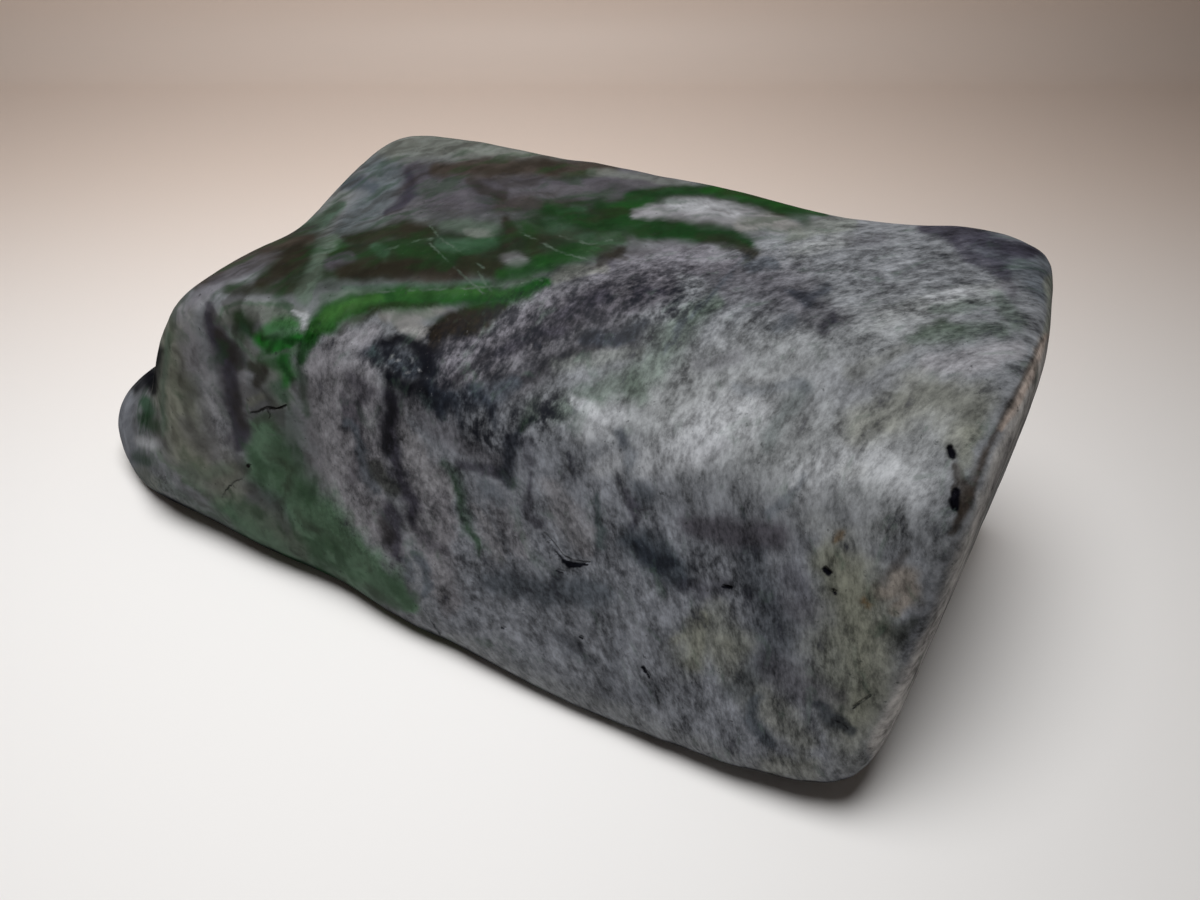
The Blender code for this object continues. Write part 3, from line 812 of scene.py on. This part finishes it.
# %% The black spot on the brow
BLACK_SPOT_STROKES = [
    ("navy", 0.8, 0.9, [(366, 352, 7), (380, 350, 12), (402, 362, 20), (426, 368, 13)]),
    ("black", 0.95, 0.8, [(380, 346, 4), (396, 341, 6), (412, 341, 7), (424, 352, 7), (426, 368, 7)]),
    ("black", 0.95, 0.8, [(384, 372, 4), (398, 384, 8), (412, 386, 9), (424, 384, 8), (432, 392, 6)]),
    ("black", 0.85, 0.8, [(392, 380, 8), (390, 398, 8), (387, 420, 7), (384, 440, 6), (386, 452, 4)]),
    ("teal", 0.6, 0.9, [(370, 352, 4), (376, 364, 5)]),
    ("navy", 0.8, 0.9, [(432, 380, 4), (440, 394, 6), (444, 408, 5), (446, 420, 3)]),
    # painted highlight: the steel strokes stand for the lamp's sheen on the black spot
    ("steel", 0.7, 0.9, [(388, 362, 5), (402, 366, 7), (414, 362, 6)]),
    ("navy", 0.5, 0.8, [(394, 368, 4), (410, 372, 4)]),
    # painted highlight: these white and pale dots are small glints of the lamp on the black spot
    ("white", 0.9, 0.6, [(396, 360, 1), (398, 361, 1)]),
    ("white", 0.9, 0.6, [(404, 366, 1.2), (406, 367, 1.2)]),
    ("white", 0.9, 0.6, [(412, 358, 1), (413, 359, 1)]),
    ("white", 0.8, 0.6, [(418, 368, 1), (419, 369, 1)]),
    ("pale", 0.8, 0.6, [(386, 356, 1), (388, 357, 1)]),
]

# %% The worn edge of the square end, with a painted reflection of the bright table along its strip
EDGE_STROKES = [
    # painted reflection: the first two strokes stand for the bright table mirrored in the strip, seen at a
    # grazing angle
    ("painted_strip_reflection", 1.0, 0.5, [
        (1050, 338, 9), (1032, 395, 13), (1012, 455, 15), (990, 520, 16), (962, 590, 17), (930, 660, 17),
    ]),
    ("painted_strip_reflection", 1.0, 0.5, [(930, 660, 17), (905, 710, 16), (880, 750, 12)]),
    ("stone_olive", 0.8, 0.6, [(1050, 282, 6), (1054, 310, 6), (1046, 335, 4)]),
    ("rim_pink", 0.9, 0.7, [(1046, 336, 3), (1032, 372, 4), (1014, 408, 4), (1000, 430, 3)]),
    ("brown", 0.75, 0.9, [
        (1042, 338, 2), (1024, 378, 2.5), (1006, 411, 3), (990, 444, 3), (976, 482, 3), (968, 506, 4),
    ]),
    ("brown", 0.6, 0.9, [(988, 448, 2), (976, 470, 4), (968, 494, 6), (958, 524, 4)]),
    ("violet", 0.35, 0.9, [(1012, 440, 3), (1000, 470, 3), (984, 520, 3), (970, 560, 3)]),
]

# %% The toe at the left end, and how far it reaches
TOE_STROKES = [
    ("ash", 0.9, 0.7, [(126, 400, 9), (122, 420, 9), (124, 440, 10), (134, 466, 10)]),
    ("stone_grey", 0.8, 0.8, [(140, 472, 7), (156, 484, 6)]),
    # painted shade: the two black strokes stand for the shade in the hollow above the toe
    ("black", 0.85, 1.0, [(158, 352, 6), (152, 368, 9), (144, 382, 9), (137, 388, 5)]),
    ("black", 0.9, 0.8, [(152, 378, 8), (154, 392, 4)]),
    ("green_sage", 0.9, 0.7, [(146, 402, 6), (150, 412, 6)]),
    ("deep_green", 0.8, 0.9, [(145, 419, 7), (153, 425, 7)]),
    ("white", 0.8, 0.9, [(140, 441, 5), (154, 444, 6)]),
    ("deep_green", 0.6, 0.9, [(137, 457, 6), (148, 462, 5)]),
    ("pale_sage", 0.5, 0.8, [(167, 330, 1.8), (164, 380, 1.8), (163, 436, 1.8)]),
]
TOE_AREA = [(152, 356, 16), (132, 400, 22), (128, 450, 20), (150, 480, 12)]

# %% [markdown]
# ## The hidden sides
#
# The green sheet doesn't stop at the edge of the view. It crosses the top from the front left to the
# back right and goes on down the back, and the layers on its left follow it like the leaves of a book.
# So the hidden sides take their minerals from their distance to that sheet, bent by noise, and the grey
# stone on its right is clouded with pale and violet patches.

# %% Layers beside the green sheet: distance from its right face in mm, and the mineral there
SHEET_LAYERS = [
    (-80, "steel"),
    (-70, "olive_grey"),
    (-61, "sage"),
    (-54, "olive_grey"),
    (-49, "violet"),
    (-45, "lavender"),
    (-40, "brown"),
    (-36, "olive_grey"),
    (-31, "violet"),
    (-27, "dark_brown"),
    (-23, "sage"),
    (-19, "lavender"),
    (-15, "olive_dark"),
    (-11, "moss"),
    (-7, "leaf"),
    (-3, "deep_green"),
    (-1, "leaf"),
    (1, "dark_violet"),
    (4, "lavender"),
    (8, "grey"),
    (90, "grey"),
]
SHEET_START = (-12.0, -24.0, 42.0)
SHEET_NORMAL = (0.686, -0.728)
SHEET_LEAN_FRONT = 0.5
SHEET_LEAN_BACK = 0.25
HIDDEN_STROKES = [
    ("pale", 0.6, 1.0, [(71, -20, 36, 8), (72, 0, 30, 10), (72, 20, 38, 8)]),
    ("lavender", 0.6, 1.0, [(71, -16, 14, 7), (72, 4, 16, 8)]),
    ("dark_violet", 0.6, 0.8, [(70, -6, 46, 2.0), (72, -2, 34, 2.2), (72, 6, 22, 2.0), (70, 8, 8, 1.6)]),
    ("steel", 0.6, 0.9, [(72, 16, 28, 4), (71, 22, 14, 5)]),
    ("olive_grey", 0.5, 1.0, [(71, 12, 44, 6), (71, 26, 32, 6)]),
    ("violet", 0.6, 0.8, [(64, 30, 40, 4), (60, 33, 24, 5), (62, 30, 10, 4)]),
    ("dark_violet", 0.6, 0.7, [(55, 32, 44, 2), (58, 33, 30, 2.4), (56, 32, 16, 2)]),
    ("emerald", 0.8, 0.6, [(24, 34, 30, 3), (28, 34, 24, 3.4), (30, 33, 16, 2.4)]),
    ("white", 0.5, 0.7, [(2, 33, 34, 2.4), (8, 33, 26, 3), (12, 32, 16, 2.4)]),
    ("dark_brown", 0.7, 0.6, [(-22, 33, 38, 2.4), (-16, 33, 28, 3), (-14, 32, 14, 3)]),
    ("black", 0.6, 0.6, [(-46, 26, 26, 2.4), (-42, 28, 16, 3)]),
    ("navy", 0.7, 0.6, [(-68, -6, 14, 3), (-69, 4, 10, 3.4)]),
    ("pale_sage", 0.6, 0.7, [(-60, 10, 26, 4), (-64, 6, 16, 4)]),
    ("deep_green", 0.6, 0.7, [(-62, 18, 16, 3), (-66, 10, 6, 3)]),
]


def colour_of(mineral):
    """A mineral's red, green and blue."""
    return np.array(MINERALS[mineral])


def stain(colours, mineral, amount):
    """Bring each colour as near to a mineral as the amount says, from 0 to 1."""
    colours += amount[:, None] * (colour_of(mineral) - colours)


def layered_ground(places, bend):
    """The minerals of the hidden sides, from the distance to the green sheet."""
    x, y, z = places.T
    lean = np.where(y < 0, SHEET_LEAN_FRONT, SHEET_LEAN_BACK)
    beside = SHEET_NORMAL[0] * (x - SHEET_START[0]) + SHEET_NORMAL[1] * (y - SHEET_START[1])
    beside = beside - lean * (SHEET_START[2] - z) + bend
    steps = [step for step, _ in SHEET_LAYERS]
    layers = np.array([colour_of(mineral) for _, mineral in SHEET_LAYERS])
    return np.stack([np.interp(beside, steps, layers[:, part]) for part in range(3)], axis=1), beside


def paint_over(colours, points, strokes, ragged, strength=1.0):
    """Lay each stroke over the colours, as thickly as it covers."""
    for mineral, cover, softness, line in strokes:
        stain(colours, mineral, cover * strength * covers(reach_from(points, line) + ragged, softness))


print("the hidden sides have", len(SHEET_LAYERS), "layers and", len(HIDDEN_STROKES), "strokes")

# %% The grain: how far each point lies across the fibres, and along them
# the fibres lean with height towards the square end, and fan out towards both ends
GRAIN_LEAN = 0.55
GRAIN_LEANS_FROM = (-10, 50)
GRAIN_TOP = 50
GRAIN_SLANT = 0.22
GRAIN_FAN = 42
ALONG_GRAIN = 0.62

places = places_of(skin.vertices)
view = in_view(places)
outward = outward_of(skin.vertices)
x, y, z = places.T
across_grain = x + GRAIN_LEAN * smooth_step(*GRAIN_LEANS_FROM, x) * (z - GRAIN_TOP)
across_grain -= GRAIN_SLANT * y * (1 + (x / GRAIN_FAN) ** 2)
grain = np.stack([across_grain, ALONG_GRAIN * y, ALONG_GRAIN * z], axis=1)
print("the stone is", round(np.ptp(across_grain)), "mm across its fibres")

# %% Bend the view, so that painted edges wander: less where the stone is waxy
WARP_LENGTHS = (7.0, 2.4, 1.2)
WARP_PIXELS = (6.0, 3.5, 1.6)
CRISP_WARP = 0.3
RAGGED = 0.24
RAGGED_LENGTH = 1.6
WAXY_CALM = 0.5
WAXY_SOFTNESS = 0.4
WAXY_AREA = [
    [(150, 300, 30), (170, 420, 40), (200, 470, 30), (260, 520, 40), (330, 570, 30), (400, 600, 14)],
    [(220, 330, 60), (270, 400, 40), (280, 480, 44)],
    [(200, 270, 40), (330, 270, 50), (450, 250, 54), (560, 225, 46), (680, 215, 34), (800, 210, 22)],
    [(350, 190, 50), (430, 165, 40), (550, 180, 40), (680, 190, 16)],
    [(390, 318, 10), (440, 315, 10), (490, 300, 10)],
    [(140, 370, 20), (128, 420, 26), (136, 470, 18)],
]


def wander(places, length, shifts):
    """A smooth random direction at each point, with one part for each shift."""
    return np.stack([noise_at(places, length, shift=shift) for shift in shifts], axis=1)


calm = 1 - WAXY_CALM * covers(reach_from_any(view, WAXY_AREA), WAXY_SOFTNESS)
warped = view.copy()
for length, pixels in zip(WARP_LENGTHS, WARP_PIXELS):
    warped += (calm * pixels)[:, None] * wander(places, length, shifts=(31, 67))
crisp = view + CRISP_WARP * (warped - view)
ragged = RAGGED * calm * noise_at(grain, RAGGED_LENGTH, octaves=4, shift=5)
print("painted edges wander by up to", round(float(np.abs(warped - view).max()), 1), "pixels")

# %% Paint the hidden sides: layers, then patches in the grey stone, then strokes
BEND_LENGTHS = (16.0, 3.0)
BEND_DEPTHS = (5.0, 1.2)
PATCH_LENGTH = 9.0
SMALL_PATCH_LENGTH = 3.0
SMALL_PATCH_SHARE = 0.5
PATCH_COVER = 0.75
# each patch: its mineral, the side of the noise that it takes, and where it starts and is full
PATCHES = [("pale", 1, 0.05, 0.6), ("violet", -1, 0.1, 0.55), ("dark_violet", -1, 0.4, 0.8)]
GREY_FROM = (3, 9)
HIDDEN_WANDER = 1.2
HIDDEN_WANDER_LENGTH = 4.0

bend = np.zeros(len(places))
for length, deepest, shift in zip(BEND_LENGTHS, BEND_DEPTHS, (3, 13)):
    bend += deepest * noise_at(places, length, shift=shift)
hidden, beside = layered_ground(places, bend)
patches = noise_at(places, PATCH_LENGTH, shift=41)
patches += SMALL_PATCH_SHARE * noise_at(grain, SMALL_PATCH_LENGTH, shift=43)
in_grey = smooth_step(*GREY_FROM, beside)
for mineral, side, low, high in PATCHES:
    stain(hidden, mineral, PATCH_COVER * in_grey * smooth_step(low, high, side * patches))
hidden_points = places + HIDDEN_WANDER * wander(places, HIDDEN_WANDER_LENGTH, shifts=(17, 19, 23))
paint_over(hidden, hidden_points, HIDDEN_STROKES, ragged)
print("share of the points in the grey stone:", round(float(in_grey.mean()), 2))

# %% Paint the side that shows, and join it to the hidden sides
JOINED_FROM = (0.0, 0.05)
WARPED_STROKES = [
    *FRONT_STROKES,
    *TOP_STROKES,
    *BAND_STROKES,
    *BACK_EDGE_STROKES,
    *LEFT_STROKES,
    *BROW_LEFT_STROKES,
    *VEIN_STROKES,
    *BLACK_SPOT_STROKES,
]

seen_paint = np.tile(colour_of("grey"), (len(places), 1))
paint_over(seen_paint, warped, WARPED_STROKES, ragged)
paint_over(seen_paint, crisp, EDGE_STROKES, ragged)
shown = smooth_step(*JOINED_FROM, facing_camera(places, outward))
colours = hidden + shown[:, None] * (seen_paint - hidden)
print("painted", len(places), "points with", len(WARPED_STROKES) + len(EDGE_STROKES), "strokes")

# %% Painted shade under the foot, dirt in the cracks and pits, pale mineral in the hairlines
FOOT_SHADE_FROM = (0.16, 0.42)
HIDDEN_FOOT_SHADE = 0.3
JITTER_PIXELS = 1.2
JITTER_LENGTH = 0.7
BROKEN_FROM = (-0.45, 0.35)
BROKEN_LENGTH = 2.0
CRACK_EDGE = (0.4, 1.5)
CRACK_DIRT = (0.45, 0.95)
PIT_EDGE = (0.7, 1.5)
HAIRLINE_EDGE = (0.2, 1.5)
HAIRLINE_COVER = 0.7

# painted shade: where the underside of the foot faces down it is painted black, more weakly on the hidden
# sides
painted_foot_shade = smooth_step(*FOOT_SHADE_FROM, -outward[:, 2])
painted_foot_shade *= HIDDEN_FOOT_SHADE + (1 - HIDDEN_FOOT_SHADE) * shown
stain(colours, "black", painted_foot_shade)

jittered = view + JITTER_PIXELS * wander(places, JITTER_LENGTH, shifts=(71, 73))
broken = smooth_step(*BROKEN_FROM, noise_at(places, BROKEN_LENGTH, shift=79))
crack_dirt = shown * np.interp(broken, (0, 1), CRACK_DIRT)
for line, _ in CRACKS.values():
    amount = 1 - smooth_step(*CRACK_EDGE, reach_from(jittered, line) + ragged)
    stain(colours, "black", crack_dirt * amount)
in_pit = np.zeros(len(places))
for line, _ in PITS.values():
    amount = shown * (1 - smooth_step(*PIT_EDGE, reach_from(jittered, line)))
    stain(colours, "black", amount)
    in_pit = np.maximum(in_pit, amount)
for line in HAIRLINES.values():
    amount = 1 - smooth_step(*HAIRLINE_EDGE, reach_from(jittered, line))
    stain(colours, "pale_sage", HAIRLINE_COVER * broken * shown * amount)
print("points in pits:", int((in_pit > 0).sum()))

# %% Where the stone is waxy, where it is speckled, and the clots drawn out along the sheet
HIDDEN_WAXY_UP_TO = (-2, 3)
WAXY_LOSES = 0.85
CALM_FIBRE = 0.80
SPECKLED_AREAS = [  # how strongly the black network shows, and where
    (1.0, [(430, 376, 30), (520, 336, 40), (600, 310, 40), (680, 296, 30)]),
    (1.0, [(370, 360, 14), (410, 365, 22), (470, 400, 30), (500, 440, 26), (550, 410, 22)]),
    (0.5, [(360, 400, 20), (400, 480, 24), (470, 540, 40), (620, 570, 50), (760, 590, 40)]),
    (0.4, [(660, 340, 40), (760, 300, 50), (860, 290, 40), (980, 270, 30)]),
    (0.3, [(480, 600, 40), (640, 660, 50), (800, 720, 50), (880, 640, 30)]),
]
CLOT_LENGTH = 3.0
CLOT_COVER = 0.5
CLOT_FULL = 0.6
CLOT_STRETCH = (1.0, 0.3, 0.6)
TOE_SOFTNESS = 0.5

hidden_waxy = 1 - smooth_step(*HIDDEN_WAXY_UP_TO, beside)
seen_waxy = covers(reach_from_any(warped, WAXY_AREA), WAXY_SOFTNESS)
waxy = hidden_waxy + shown * (seen_waxy - hidden_waxy)
speckle = np.zeros(len(places))
for share, line in SPECKLED_AREAS:
    speckle = np.maximum(speckle, share * shown * covers(reach_from(warped, line), 1.0))
fibre = (1 - WAXY_LOSES * waxy) * (CALM_FIBRE + (1 - CALM_FIBRE) * speckle)

along_sheet = SHEET_NORMAL[0] * y - SHEET_NORMAL[1] * x
sheet_places = np.stack([beside, along_sheet, z], axis=1) * CLOT_STRETCH
clots = noise_at(sheet_places, CLOT_LENGTH, octaves=5, shift=83)
for mineral, side in (("deep_green", 1), ("umber", -1)):
    stain(colours, mineral, CLOT_COVER * waxy * smooth_step(0, CLOT_FULL, side * clots))
paint_over(colours, crisp, TOE_STROKES, ragged, strength=shown)
toe = shown * covers(reach_from(view, TOE_AREA), TOE_SOFTNESS)
print("share of the points in the waxy stone:", round(float(waxy.mean()), 2))

# %% Keep the paint and the grain on the points of the skin
def keep_on_points(name, kind, slot, values):
    """Store one value or vector for each point of the skin under a name."""
    layer = skin.attributes.new(name, kind, "POINT")
    layer.data.foreach_set(slot, np.ascontiguousarray(values, dtype=np.float32).ravel())


polish = (1 - painted_foot_shade) * (1 - toe) * (1 - in_pit)
opaque_colours = np.column_stack([colours, np.ones(len(places))])
keep_on_points("mineral_colour", "FLOAT_COLOR", "color", opaque_colours)
keep_on_points("grain", "FLOAT_VECTOR", "vector", grain)
for name, values in {"fibre": fibre, "speckle": speckle, "polish": polish}.items():
    keep_on_points(name, "FLOAT", "value", values)
print("average polish:", round(float(polish.mean()), 2))

# %% [markdown]
# ## The polished stone
#
# Jade is a felt of fine fibres. In the grey part they show: dark and pale threads a fraction of a
# millimetre wide, all combed one way. The green and olive part is finer and looks like wax. So one
# material reads the painted colour and breaks it up: stretched noise for the threads where the stone
# is fibrous, a black network where it is speckled, and clouds and dark flecks everywhere. All of it is
# laid out in millimetres of the stone itself, so the grain goes on round every edge. The shine is a
# thin coat, as tumbling leaves. It is missing in the pits and on the toe, where the polishing grit
# doesn't reach, and under the foot, whose underside is painted in shade.

# %% What the material adds to the paint
# each noise: its scale per millimetre, detail, roughness and, for some, distortion
THREADS = (0.34, 8.0, 0.68)
FINE_THREADS = (1.6, 6.0, 0.68)
GREEN_THREADS = (0.33, 4.0, 0.6, 0.6)
NETWORK = (0.8, 4.0, 0.6)
CLOUDS = (0.26, 5.0, 0.55, 0.5)
FLECKS = (1.1, 4.0, 0.65)

# each change of brightness or finish: the noise's value from and to, and what it gives there
THREAD_LIGHT = (0.32, 0.68, -0.55, 0.60)
FINE_THREAD_LIGHT = (0.34, 0.66, -0.32, 0.32)
CLOUD_LIGHT = (0.3, 0.7, -0.22, 0.22)
ROUGHNESS = (0.3, 0.7, 0.42, 0.55)

# each mineral that lies over the paint: the same four, which give its cover, and its colour
GREEN_THREAD = ((0.56, 0.72, 0.0, 0.4), (0.07, 0.115, 0.085))
DARK_THREAD = ((0.40, 0.30, 0.0, 0.55), (0.030, 0.031, 0.044))
BLACK_NETWORK = ((0.68, 0.30, 0.0, 0.95), (0.008, 0.009, 0.013))
DARK_FLECK = ((0.37, 0.27, 0.0, 0.6), (0.018, 0.020, 0.020))
PALE_GLINT = ((0.62, 0.76, 0.0, 0.35), (0.30, 0.31, 0.32))

UNCOATED_SHINE = 0.0
WAX_COAT = 0.12
WAX_ROUGHNESS = 0.38
BUMP_STRENGTH = 0.12
BUMP_HEIGHT = 0.25 * MM
JADE_IOR = 1.5
MM_PER_METRE = 1000.0
print("finest noise, mm:", round(1 / FINE_THREADS[0], 2), "coarsest, mm:", round(1 / CLOUDS[0], 1))

# %% Build the material


def jade_material():
    """Polished jade: the painted colour, broken up by threads, flecks and clouds, under a thin coat."""
    material = bpy.data.materials.new("polished_jade")
    material.use_nodes = True
    tree = material.node_tree
    shader = tree.nodes["Principled BSDF"]

    def node(kind, **settings):
        made = tree.nodes.new(kind)
        for name, value in settings.items():
            setattr(made, name, value)
        return made

    def attribute(name, output="Fac"):
        return node("ShaderNodeAttribute", attribute_name=name).outputs[output]

    def maths(operation, *values):
        made = node("ShaderNodeMath", operation=operation)
        for place, value in enumerate(values):
            if isinstance(value, float):
                made.inputs[place].default_value = value
            else:
                tree.links.new(value, made.inputs[place])
        return made.outputs["Value"]

    def noise_of(vector, scale, detail, roughness, distortion=0.0):
        made = node("ShaderNodeTexNoise")
        made.inputs["Scale"].default_value = scale
        made.inputs["Detail"].default_value = detail
        made.inputs["Roughness"].default_value = roughness
        made.inputs["Distortion"].default_value = distortion
        tree.links.new(vector, made.inputs["Vector"])
        return made.outputs["Fac"]

    def between(value, *low_high_and_new):
        made = node("ShaderNodeMapRange", interpolation_type="SMOOTHSTEP")
        for place, number in enumerate(low_high_and_new, start=1):
            made.inputs[place].default_value = number
        tree.links.new(value, made.inputs["Value"])
        return made.outputs["Result"]

    def lay_over(colour, tint, amount):
        made = node("ShaderNodeMix", data_type="RGBA")
        tree.links.new(amount, made.inputs["Factor"])
        tree.links.new(colour, made.inputs["A"])
        made.inputs["B"].default_value = (*tint, 1.0)
        return made.outputs["Result"]

    in_mm = node("ShaderNodeMapping")
    in_mm.inputs["Scale"].default_value = (MM_PER_METRE,) * 3
    tree.links.new(node("ShaderNodeTexCoord").outputs["Object"], in_mm.inputs["Vector"])
    place = in_mm.outputs["Vector"]
    along_grain = attribute("grain", "Vector")
    fibre = attribute("fibre")
    speckle = attribute("speckle")

    threads = noise_of(along_grain, *THREADS)
    fine_threads = noise_of(along_grain, *FINE_THREADS)
    clouds = noise_of(place, *CLOUDS)

    # brightness: threads where the stone is fibrous, clouds everywhere
    bright = maths("MULTIPLY_ADD", between(threads, *THREAD_LIGHT), fibre, 1.0)
    bright = maths("MULTIPLY_ADD", between(fine_threads, *FINE_THREAD_LIGHT), fibre, bright)
    bright = maths("ADD", bright, between(clouds, *CLOUD_LIGHT))
    lit = node("ShaderNodeVectorMath", operation="SCALE")
    tree.links.new(attribute("mineral_colour", "Color"), lit.inputs[0])
    tree.links.new(bright, lit.inputs["Scale"])

    # minerals over the paint: each follows a noise, and most keep to one kind of stone
    colour = lit.outputs["Vector"]
    for pattern, (cover, tint), where in (
        (noise_of(along_grain, *GREEN_THREADS), GREEN_THREAD, fibre),
        (threads, DARK_THREAD, fibre),
        (noise_of(along_grain, *NETWORK), BLACK_NETWORK, speckle),
        (noise_of(place, *FLECKS), DARK_FLECK, None),
        (fine_threads, PALE_GLINT, fibre),
    ):
        amount = between(pattern, *cover)
        colour = lay_over(colour, tint, maths("MULTIPLY", amount, where) if where else amount)
    tree.links.new(colour, shader.inputs["Base Color"])

    bump = node("ShaderNodeBump")
    bump.inputs["Strength"].default_value = BUMP_STRENGTH
    bump.inputs["Distance"].default_value = BUMP_HEIGHT
    tree.links.new(fine_threads, bump.inputs["Height"])
    tree.links.new(bump.outputs["Normal"], shader.inputs["Normal"])
    tree.links.new(between(clouds, *ROUGHNESS), shader.inputs["Roughness"])
    tree.links.new(maths("MULTIPLY", attribute("polish"), WAX_COAT), shader.inputs["Coat Weight"])
    for finish, value in {
        "IOR": JADE_IOR,
        "Specular IOR Level": UNCOATED_SHINE,
        "Coat Roughness": WAX_ROUGHNESS,
        "Metallic": 0.0,
    }.items():
        shader.inputs[finish].default_value = value
    return material


skin.materials.clear()
skin.materials.append(jade_material())
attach(jade, "root")
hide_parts("jade_boulder")
print("the material has", len(skin.materials[0].node_tree.nodes), "nodes")
